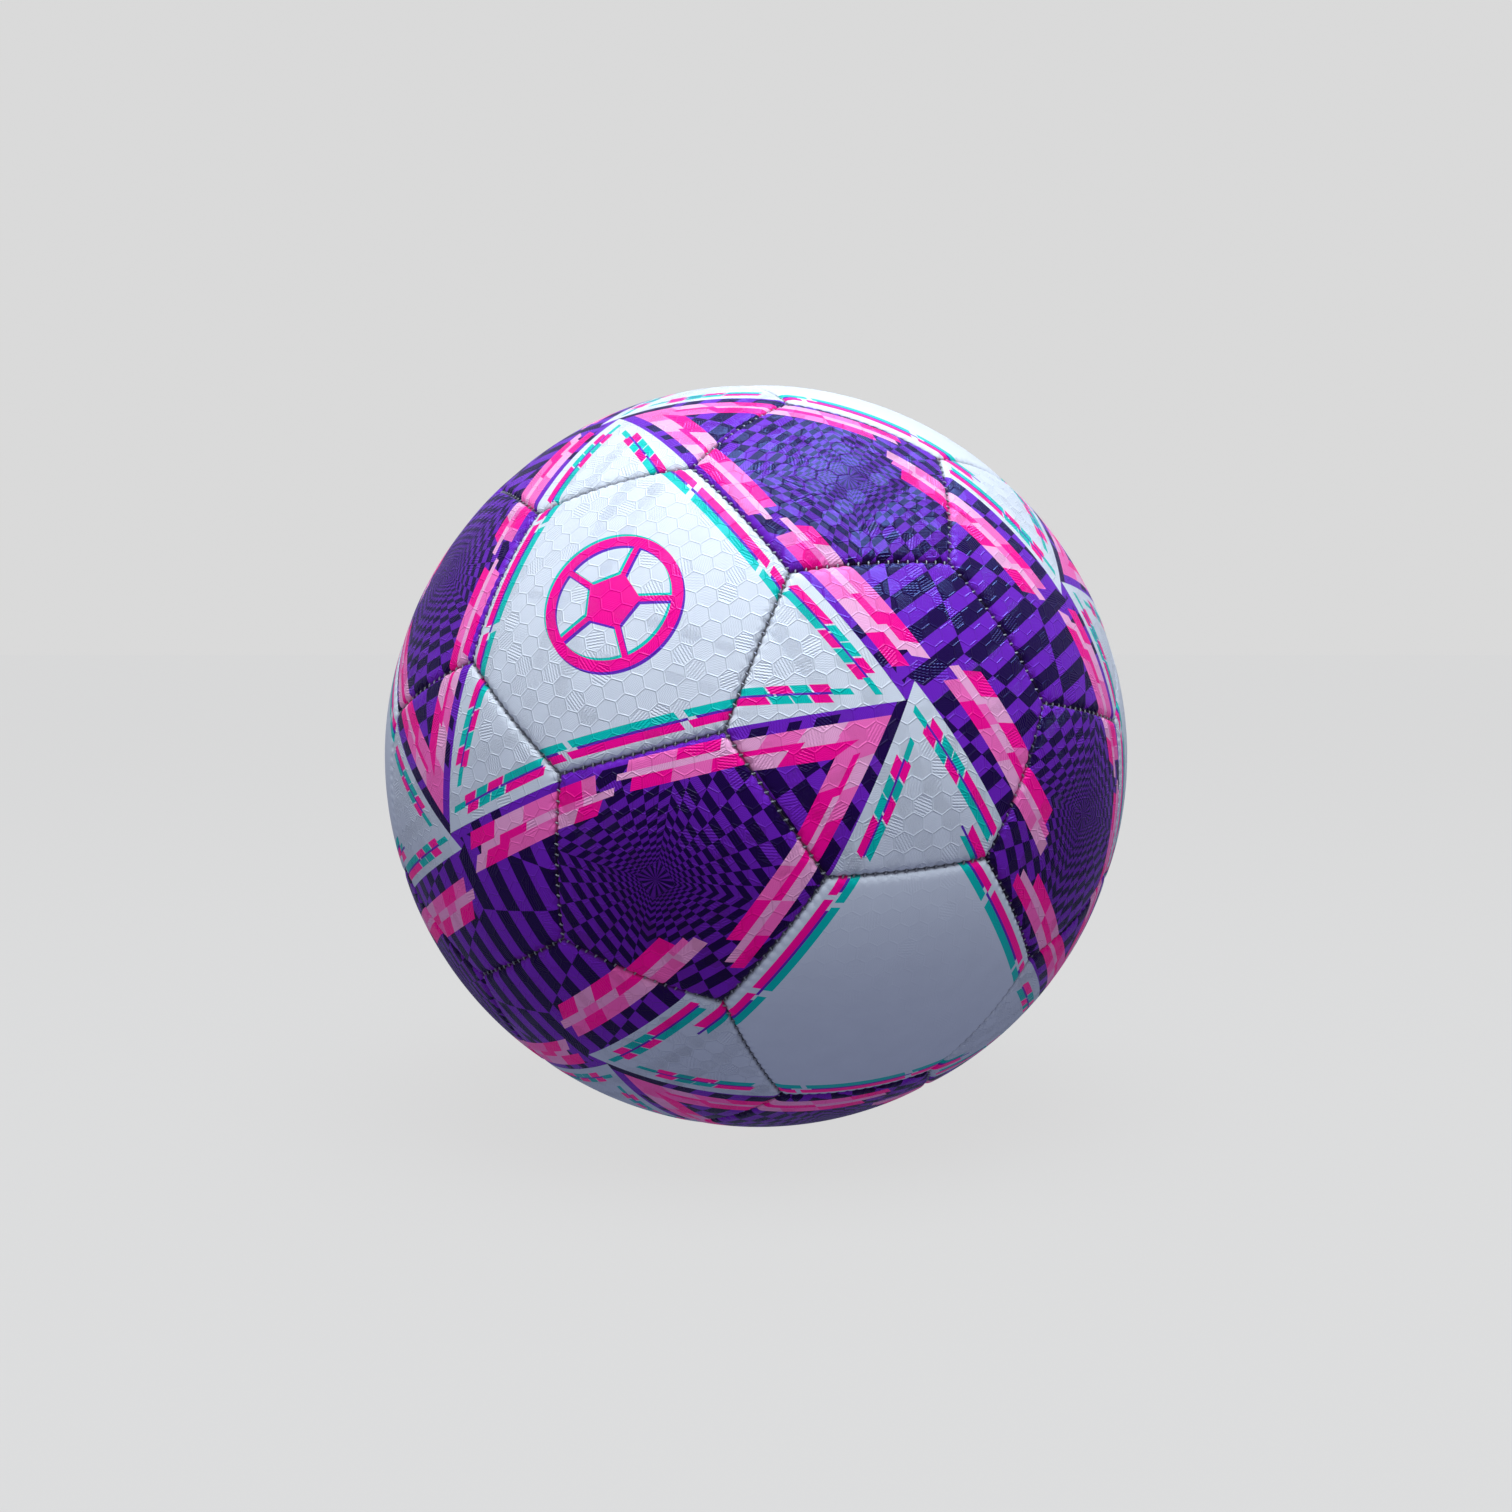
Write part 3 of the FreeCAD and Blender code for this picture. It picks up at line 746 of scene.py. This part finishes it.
def pentagon_print():
    """The pentagon: the tunnel, under four broken pink bands."""
    paint = Print("pentagon_print")
    tunnel(paint)
    edge = (-28.0, 43.3)
    paint.row(edge, -18, 1.0, -4.6, [("purple", 200)])
    paint.row(edge, -18, -2.2, -5.5, [("gap", 27.6), ("dark", 7.9)], 1.2)
    upper_left = (-27.2, 37.7)
    paint.row(upper_left, -13, 0.0, -4.8, [("magenta", 20.1), ("pink", 4.3)], 0.25)
    paint.row(upper_left, -13, -4.8, -6.7, [("pink", 19.5), ("light", 9.2)], 0.5)
    paint.row(upper_left, -13, -6.7, -10.2, [("light", 16.2), ("magenta", 7.4)], 0.8)
    upper = (0.7, 32.8)
    paint.row(upper, -19, 0.0, -3.0, [
        ("gap", 6.2), ("pink", 13.3), ("magenta", 11.7), ("light", 30),
    ], 0.4)
    paint.row(upper, -19, -3.0, -4.7, [("gap", 2.5), ("light", 60)], 0.4)
    paint.row(upper, -19, -4.7, -8.1, [
        ("gap", 6.0), ("magenta", 11.0), ("pink", 10.5), ("magenta", 30),
    ], 0.4)
    lower = (-7.0, -24.5)
    paint.row(lower, 20, 0.0, -3.4, [
        ("gap", 9.6), ("magenta", 13.9), ("pink", 10.8), ("light", 40),
    ], -0.6)
    paint.row(lower, 20, -3.4, -5.6, [("gap", 3.4), ("light", 21.6), ("magenta", 40)], -0.6)
    paint.row(lower, 20, -5.6, -8.8, [
        ("gap", 3.0), ("magenta", 12.0), ("pink", 11.5), ("light", 40),
    ], -0.6)
    lower_left = (-46.8, -19.6)
    paint.row(lower_left, 13, 0.0, -4.3, [("magenta", 35.4)], -0.3)
    paint.row(lower_left, 13, -4.3, -6.2, [("light", 32.9), ("pink", 6.4)])
    paint.row(lower_left, 13, -6.2, -9.9, [("pink", 32.8), ("light", 9.1)], -0.3)
    return finish_cover(paint, PENTAGON_GRAIN)


BAR_WIDTH = 4.7
BAR_EDGE = 2.2
COLUMN_WIDTH = 4.9
COLUMN_EDGE = -41.0


def bars(paint):
    """Purple and dark bars, which change places across four lines."""
    bar = paint.maths("FLOOR", paint.measure(0, 1 / BAR_WIDTH, -BAR_EDGE / BAR_WIDTH))
    upper = paint.left_of((0, BAR_EDGE), 0)
    lower = paint.maths("SUBTRACT", 1.0, upper)
    bend = (23.8, BAR_EDGE)
    flips = paint.both(upper, paint.left_of((14.3, 22.7), -127))
    flips = paint.maths("ADD", flips, paint.both(upper, paint.left_of(bend, -110)))
    flips = paint.maths("ADD", flips, paint.both(lower, paint.left_of(bend, -66)))
    flips = paint.maths("ADD", flips, paint.both(lower, paint.left_of((7.3, -3.7), -75)))
    paint.chequer(bar, flips)


def arrowhead(paint):
    """The pink arrowhead between the white triangles, with blocks and strips of purple."""
    column = paint.maths("FLOOR", paint.measure(1 / COLUMN_WIDTH, 0, -COLUMN_EDGE / COLUMN_WIDTH))
    above = paint.left_of((0, 1.6), 0)
    below = paint.maths("SUBTRACT", 1.0, above)
    paint.chequer(column, above, paint.maths("LESS_THAN", paint.measure(1, 0, 0), 0.0))
    upper, falls = (-41.1, 20.5), -26.8
    lower, rises = (-40.3, -18.3), 28.5
    paint.row(upper, falls, 0, 5.0, [("purple", 60)], within=above)
    paint.row(upper, falls, 0, 2.2, [
        ("gap", 4.4), ("dark", 5.0), ("gap", 5.4), ("dark", 3.4), ("gap", 3.8), ("dark", 6.4),
    ], 0.6, above)
    paint.row(lower, rises, 0, -6.0, [("purple", 52.4)])
    paint.row(lower, rises, 0, -3.3, [("gap", 30.0), ("dark", 17.5)], 0.5)
    paint.row(lower, rises, 0, -3.6, [
        ("dark", 6.0), ("gap", 5.2), ("dark", 5.6), ("gap", 5.4), ("dark", 5.0),
    ], 0.5)
    paint.row(upper, falls, 0, -3.3, [
        ("light", 7.5), ("pink", 10.5), ("light", 11.0), ("pink", 30),
    ], 1.0, above)
    paint.row(upper, falls, -3.3, -4.7, [("magenta", 18), ("light", 9.0), ("pink", 30)], 1.0, above)
    paint.row(upper, falls, -4.7, -8.6, [("light", 12), ("magenta", 40)], 1.0, above)
    paint.row(lower, rises, 0, 3.3, [
        ("magenta", 11), ("pink", 9.5), ("light", 9.0), ("pink", 30),
    ], -1.0, below)
    paint.row(lower, rises, 3.3, 4.7, [("light", 17), ("magenta", 12), ("pink", 30)], -1.0, below)
    paint.row(lower, rises, 4.7, 8.6, [("magenta", 17.5), ("pink", 40)], -1.0, below)


def far_bands(paint):
    """The pink bands that cross the bars."""
    top = (3.9, 50.0)
    paint.row(top, -90, 0, 4.3, [("pink", 17.5), ("light", 11.8), ("magenta", 10.9)], 0.6)
    paint.row(top, -90, 4.3, 6.4, [("light", 18), ("magenta", 10.8), ("light", 8.4)], 0.6)
    paint.row(top, -90, 6.4, 10.4, [("pink", 26.9), ("magenta", 9.7), ("light", 5.0)], 0.9)
    foot = (13.5, 2.0)
    paint.row(foot, -86.3, 0, 4.0, [
        ("gap", 2.8), ("pink", 7.0), ("magenta", 8.8), ("pink", 10.6), ("light", 20),
    ], 0.6)
    paint.row(foot, -86.3, 4.0, 6.6, [
        ("gap", 0.6), ("light", 12.5), ("pink", 6.5), ("light", 9.5), ("magenta", 20),
    ], 0.6)
    paint.row(foot, -86.3, 6.6, 11.2, [
        ("gap", 5.0), ("magenta", 8.4), ("light", 8.4), ("magenta", 8.4), ("pink", 20),
    ], 0.8)


def two_tone_print():
    """The two-tone hexagon: purple bars, a pink arrowhead and bands, and two white
    triangles with a broken line inside each of their long sides."""
    paint = Print("two_tone_print")
    bars(paint)
    arrowhead(paint)
    far_bands(paint)
    paint.row((1.8, 50), -90, 0, 2.2, [
        ("purple", 25), ("dark", 3.8), ("purple", 5), ("dark", 3.8), ("purple", 10),
    ])
    first = paint.both(paint.left_of((1.7, 2.2), 90), paint.left_of((-41.0, 24.4), -27.4))
    paint.lay(ink("white"), first)
    second = paint.both(paint.left_of((8.9, -42.9), 92.5), paint.left_of((6.8, 4.8), -148.8))
    paint.lay(ink("white"), second)
    paint.accents((-3.9, 44.4), -88.6, 1)
    paint.accents((-38.9, 33.0), -34.7, -1)
    paint.accents((-33.7, -26.8), 33.5, 1, 4.0)
    paint.accents((3.8, -37.5), 92, -1, -5.4)
    crossing = (-3.0, -52.0)
    paint.row(crossing, 90, 1.8, 0.2, [("gap", 6), ("teal", 9.5)], 0.8)
    paint.row(crossing, 90, 0.3, -0.4, [("violet", 18.3)])
    paint.row(crossing, 90, -0.4, -3.0, [("magenta", 15.6)], -0.7)
    return finish_cover(paint, TWO_TONE_GRAIN)


def fold_in_three(paint):
    """Turns each place's sums to its distance out towards the nearest pentagon, and how far
    it is along that side, so that one broken line is drawn three times."""
    x, y, _ = paint.apart(paint.place)
    bearing = paint.maths("ADD", paint.maths("ARCTAN2", y, x), math.pi / 3)
    folded = paint.maths("WRAP", bearing, math.pi / 3, -math.pi / 3)
    squares = paint.maths("ADD", paint.maths("MULTIPLY", x, x), paint.maths("MULTIPLY", y, y))
    distance = paint.maths("SQRT", squares)
    together = paint.node("ShaderNodeCombineXYZ")
    paint.give(together.inputs[0], paint.maths("MULTIPLY", distance, paint.maths("COSINE", folded)))
    paint.give(together.inputs[1], paint.maths("MULTIPLY", distance, paint.maths("SINE", folded)))
    together.inputs[2].default_value = 1.0
    return together.outputs[0]


EMBLEM_RADIUS = 17.5
EMBLEM_LINE = 1.5
EMBLEM_PENTAGON = 6.4


def emblem_mask(paint, shift_x, shift_y):
    """A plain sign of a ball: a ring round a pentagon, with a spoke from each corner."""
    x = paint.measure(1, 0, -shift_x)
    y = paint.measure(0, 1, -shift_y)
    bearing = paint.maths("ARCTAN2", y, x)
    squares = paint.maths("ADD", paint.maths("MULTIPLY", x, x), paint.maths("MULTIPLY", y, y))
    distance = paint.maths("SQRT", squares)
    fifth = math.pi / 5
    to_side = paint.maths("WRAP", paint.maths("ADD", bearing, fifth - math.pi / 2), fifth, -fifth)
    to_corner = paint.maths("WRAP", paint.maths("SUBTRACT", bearing, math.pi / 2), fifth, -fifth)
    side = paint.maths("MULTIPLY", distance, paint.maths("COSINE", to_side))
    beside_spoke = paint.maths("MULTIPLY", distance, paint.maths("SINE", to_corner))
    pentagon = paint.maths("LESS_THAN", side, EMBLEM_PENTAGON)
    spoke = paint.maths("COMPARE", beside_spoke, 0.0, EMBLEM_LINE / 2)
    spoke = paint.both(spoke, paint.maths("LESS_THAN", distance, EMBLEM_RADIUS))
    ring = paint.maths("COMPARE", distance, EMBLEM_RADIUS, EMBLEM_LINE)
    return paint.maths("MAXIMUM", paint.maths("MAXIMUM", pentagon, spoke), ring)


def white_print(name, grain, with_emblem=False):
    """The white hexagon: a broken line beside each pentagon, the same three times over."""
    paint = Print(name)
    flat = paint.place
    paint.place = fold_in_three(paint)
    start = (36.2, -45.0)
    paint.row(start, 90, 0.3, 2.6, [
        ("gap", 16.5), ("teal", 8.6), ("gap", 1.5), ("teal", 30.6), ("gap", 2.6), ("teal", 20),
    ], -0.5)
    paint.row(start, 90, -0.5, -2.8, [
        ("gap", 18), ("magenta", 6.2), ("gap", 1.5), ("magenta", 32.6), ("gap", 2.2),
        ("magenta", 20),
    ], -0.5)
    paint.row(start, 90, -0.5, 0.3, [
        ("gap", 18), ("violet", 4.5), ("gap", 6.0), ("violet", 31.5), ("gap", 2.5), ("violet", 20),
    ], -0.5)
    paint.place = flat
    if with_emblem:
        paint.lay(ink("teal"), emblem_mask(paint, -0.8, 0.5))
        paint.lay(ink("violet"), emblem_mask(paint, 0.8, -0.6))
        paint.lay(ink("magenta"), emblem_mask(paint, 0, 0))
    return finish_cover(paint, grain)


# Everything behind the covers


CLOTH_CLOUD_SCALE = 0.2
CLOTH_CLOUD_DETAIL = 5.0
CLOTH_SHADE = 0.72
CLOTH_ROUGHNESS_SPREAD = 0.08
CLOTH_RELIEF = 0.4


def cloth_material(name, colour, thread_pitch, roughness, depth):
    """A woven cloth or a rubber: cross ribs at a pitch, over an uneven colour."""
    paint = Print(name)
    coordinates = paint.node("ShaderNodeTexCoord")
    in_millimetres = paint.node("ShaderNodeVectorMath", operation="SCALE")
    paint.give(in_millimetres.inputs[0], coordinates.outputs["Object"])
    in_millimetres.inputs["Scale"].default_value = 1 / MM
    place = in_millimetres.outputs["Vector"]
    cloud = paint.clouds(place, CLOTH_CLOUD_SCALE, CLOTH_CLOUD_DETAIL)
    shade = tuple(CLOTH_SHADE * level for level in colour[:3]) + (1.0,)
    paint.give(paint.shader.inputs["Base Color"], paint.mixed(cloud, shade, colour))
    turns = 2 * math.pi / thread_pitch
    by_x, by_y, by_z = [
        paint.maths("SINE", paint.maths("MULTIPLY", part, turns)) for part in paint.apart(place)
    ]
    height = paint.maths("ADD", paint.maths("MULTIPLY", by_x, by_y), by_z)
    paint.raised(paint.maths("ADD", height, cloud), CLOTH_RELIEF, depth)
    limits = (roughness - CLOTH_ROUGHNESS_SPREAD, roughness + CLOTH_ROUGHNESS_SPREAD)
    paint.give(paint.shader.inputs["Roughness"], paint.ramped(cloud, *CLOUD_RANGE, *limits))
    return paint.material


def dress_inner_nodes():
    """Gives the pieces that keep their CAD shape their own cloth, foam and rubber."""
    foam = cloth_material(
        "foam_sheet", (0.62, 0.66, 0.72, 1.0), thread_pitch=0.9, roughness=0.85, depth=0.05
    )
    lining = cloth_material(
        "lining_cloth", (0.70, 0.69, 0.64, 1.0), thread_pitch=0.7, roughness=0.9, depth=0.15
    )
    rubber = cloth_material(
        "bladder_rubber", (0.035, 0.035, 0.04, 1.0), thread_pitch=2.5, roughness=0.45, depth=0.03
    )
    valve = cloth_material(
        "valve_rubber", (0.05, 0.05, 0.055, 1.0), thread_pitch=1.1, roughness=0.5, depth=0.02
    )
    ring = cloth_material(
        "valve_cloth", (0.55, 0.53, 0.48, 1.0), thread_pitch=0.7, roughness=0.9, depth=0.15
    )
    chosen = {
        "pentagon_foam": foam,
        "hexagon_foam": foam,
        "pentagon_lining": lining,
        "hexagon_lining": lining,
        "bladder": rubber,
        "balance_patch": rubber,
        "valve_boot": valve,
        "valve_core": valve,
        "valve_cloth_ring": ring,
    }
    for node, material in chosen.items():
        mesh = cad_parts[node].data
        mesh.materials.clear()
        mesh.materials.append(material)
        mesh.polygons.foreach_set("material_index", np.zeros(len(mesh.polygons), np.int32))


# The stage


FLOOR_HALF = 60.0
FLOOR_GREY = (0.04, 0.04, 0.04, 1.0)
FLOOR_GLOW = 0.672
BACKDROP_GREY = (0.70, 0.70, 0.70, 1.0)
SKY_COLOURS = {
    0.0: (0.14, 0.16, 0.26, 1.0),
    0.42: (0.19, 0.21, 0.29, 1.0),
    0.62: (0.38, 0.40, 0.47, 1.0),
    1.0: (0.44, 0.50, 0.60, 1.0),
}


def make_floor():
    """A wide pale floor under the ball, brought up to the backdrop's brightness. It is clear
    from below, so that the underside can be seen."""
    corners = [(-1, -1), (1, -1), (1, 1), (-1, 1)]
    points = [
        (CENTRE.x + x * FLOOR_HALF, CENTRE.y + y * FLOOR_HALF, FLOOR_HEIGHT) for x, y in corners
    ]
    mesh = bpy.data.meshes.new("floor")
    mesh.from_pydata(points, [], [(0, 1, 2, 3)])
    floor = bpy.data.objects.new("floor", mesh)
    bpy.context.scene.collection.objects.link(floor)
    material = bpy.data.materials.new("floor_paint")
    material.use_nodes = True
    nodes, links = material.node_tree.nodes, material.node_tree.links
    shader = nodes["Principled BSDF"]
    shader.inputs["Base Color"].default_value = FLOOR_GREY
    shader.inputs["Roughness"].default_value = 1.0
    shader.inputs["Specular IOR Level"].default_value = 0.0
    shader.inputs["Emission Color"].default_value = (1.0, 1.0, 1.0, 1.0)
    shader.inputs["Emission Strength"].default_value = FLOOR_GLOW
    clear = nodes.new("ShaderNodeBsdfTransparent")
    side = nodes.new("ShaderNodeNewGeometry")
    one_sided = nodes.new("ShaderNodeMixShader")
    links.new(side.outputs["Backfacing"], one_sided.inputs["Fac"])
    links.new(shader.outputs[0], one_sided.inputs[1])
    links.new(clear.outputs[0], one_sided.inputs[2])
    links.new(one_sided.outputs[0], nodes["Material Output"].inputs["Surface"])
    mesh.materials.append(material)
    floor.visible_diffuse = False
    floor.visible_glossy = False


def make_sky():
    """Soft light from above, and a plain backdrop where the camera looks past the floor."""
    world = bpy.data.worlds.new("studio")
    bpy.context.scene.world = world
    world.use_nodes = True
    nodes, links = world.node_tree.nodes, world.node_tree.links
    direct = nodes["Background"]
    direct.inputs["Color"].default_value = BACKDROP_GREY
    soft = nodes.new("ShaderNodeBackground")
    coordinates = nodes.new("ShaderNodeTexCoord")
    apart = nodes.new("ShaderNodeSeparateXYZ")
    links.new(coordinates.outputs["Generated"], apart.inputs[0])
    ramp = nodes.new("ShaderNodeValToRGB")
    height = nodes.new("ShaderNodeMapRange")
    height.inputs["From Min"].default_value = -1.0
    links.new(apart.outputs["Z"], height.inputs["Value"])
    links.new(height.outputs[0], ramp.inputs["Fac"])
    stops = ramp.color_ramp.elements
    stops.remove(stops[0])
    stops[0].position = 0.0
    for number, (position, colour) in enumerate(SKY_COLOURS.items()):
        stop = stops[0] if number == 0 else stops.new(position)
        stop.color = colour
    links.new(ramp.outputs["Color"], soft.inputs["Color"])
    seen = nodes.new("ShaderNodeLightPath")
    mix = nodes.new("ShaderNodeMixShader")
    links.new(seen.outputs["Is Camera Ray"], mix.inputs["Fac"])
    links.new(soft.outputs[0], mix.inputs[1])
    links.new(direct.outputs[0], mix.inputs[2])
    links.new(mix.outputs[0], nodes["World Output"].inputs["Surface"])


def make_lamp(name, place, size, power, tint):
    """A square soft box that faces the ball."""
    data = bpy.data.lights.new(name, "AREA")
    data.size = size
    data.energy = power
    data.color = tint
    lamp = bpy.data.objects.new(name, data)
    bpy.context.scene.collection.objects.link(lamp)
    lamp.location = CENTRE + Vector(place)
    lamp.rotation_mode = "QUATERNION"
    lamp.rotation_quaternion = (-Vector(place)).to_track_quat("-Z", "Y")
    return lamp


def light_the_ball():
    """A soft box over the front of the ball, and a blue one that only its gloss shows."""
    make_lamp(
        "top_soft_box", (0.04, -0.38, 1.14), size=0.9, power=17.5, tint=(0.87, 0.95, 1.0)
    )
    sheen = make_lamp(
        "blue_sheen", (0.31, 0.10, 1.15), size=0.6, power=48.0, tint=(0.22, 0.42, 1.0)
    )
    sheen.visible_diffuse = False


CAMERA_DISTANCE = 5.02
CAMERA_HEIGHT_ANGLE = 3.3
CAMERA_LENS = 43.5


def make_camera():
    """The camera, a little above the ball's middle, looking at it. Its distance is counted in
    the ball's radii."""
    data = bpy.data.cameras.new("camera")
    data.lens = CAMERA_LENS
    camera = bpy.data.objects.new("camera", data)
    bpy.context.scene.collection.objects.link(camera)
    rise = math.radians(CAMERA_HEIGHT_ANGLE)
    back = Vector((0, -math.cos(rise), math.sin(rise)))
    camera.location = CENTRE + back * CAMERA_DISTANCE * BALL_RADIUS * MM
    camera.rotation_mode = "QUATERNION"
    camera.rotation_quaternion = (-back).to_track_quat("-Z", "Y")
    bpy.context.scene.camera = camera


# The ball

EMBLEM_NODE = "white_panel_03"
VALVE_NODE = "white_panel_08"


def make_threads():
    """The stitching of all the seams, in two groups."""
    cord = cloth_material(
        "stitching_thread", (0.40, 0.40, 0.43, 1.0), thread_pitch=0.5, roughness=0.5, depth=0.05
    )
    add_thread("pentagon_thread", pentagon_seams(), cord)
    add_thread("hexagon_thread", hexagon_seams(), cord)


def valve_hole_radius():
    """The radius of the valve's hole, from the CAD cover that has it."""
    axis = np.array(panel_place(VALVE_NODE).to_3x3().col[2])
    points = mesh_points(VALVE_NODE)
    height = points @ axis
    return np.linalg.norm(points - np.outer(height, axis), axis=1).min() / MM


def make_covers():
    """The 32 covers in their inks, with the valve's hole in one of them."""
    backing = cloth_material(
        "cover_backing", (0.75, 0.74, 0.70, 1.0), thread_pitch=0.7, roughness=0.9, depth=0.1
    )
    pentagon = panel_master("pentagon", 5, PENTAGON_REACH, HUB_RADIUS, True)
    hexagon = panel_master("hexagon", 6, HEXAGON_REACH, HUB_RADIUS, True)
    pierced = panel_master("pierced_hexagon", 6, HEXAGON_REACH, valve_hole_radius(), False)
    purple, two_tone = pentagon_print(), two_tone_print()
    deep = white_print("white_print", DEEP_WHITE_GRAIN)
    shallow = white_print("smooth_white_print", SHALLOW_WHITE_GRAIN)
    emblem = white_print("emblem_print", DEEP_WHITE_GRAIN, with_emblem=True)
    for node in PANELS:
        if node.startswith("pentagon"):
            add_cover(node, pentagon, [purple, backing])
        elif node.startswith("two_tone"):
            add_cover(node, hexagon, [two_tone, backing])
        else:
            middle, aim = PANELS[node]
            inks = shallow if middle.x * middle.y * middle.z > 0 else deep
            inks = emblem if node == EMBLEM_NODE else inks
            shape = pierced if node == VALVE_NODE else hexagon
            add_cover(node, shape, [inks, backing])


make_covers()
make_threads()
dress_inner_nodes()
make_floor()
make_sky()
light_the_ball()
make_camera()
bpy.context.scene.view_settings.view_transform = "Standard"
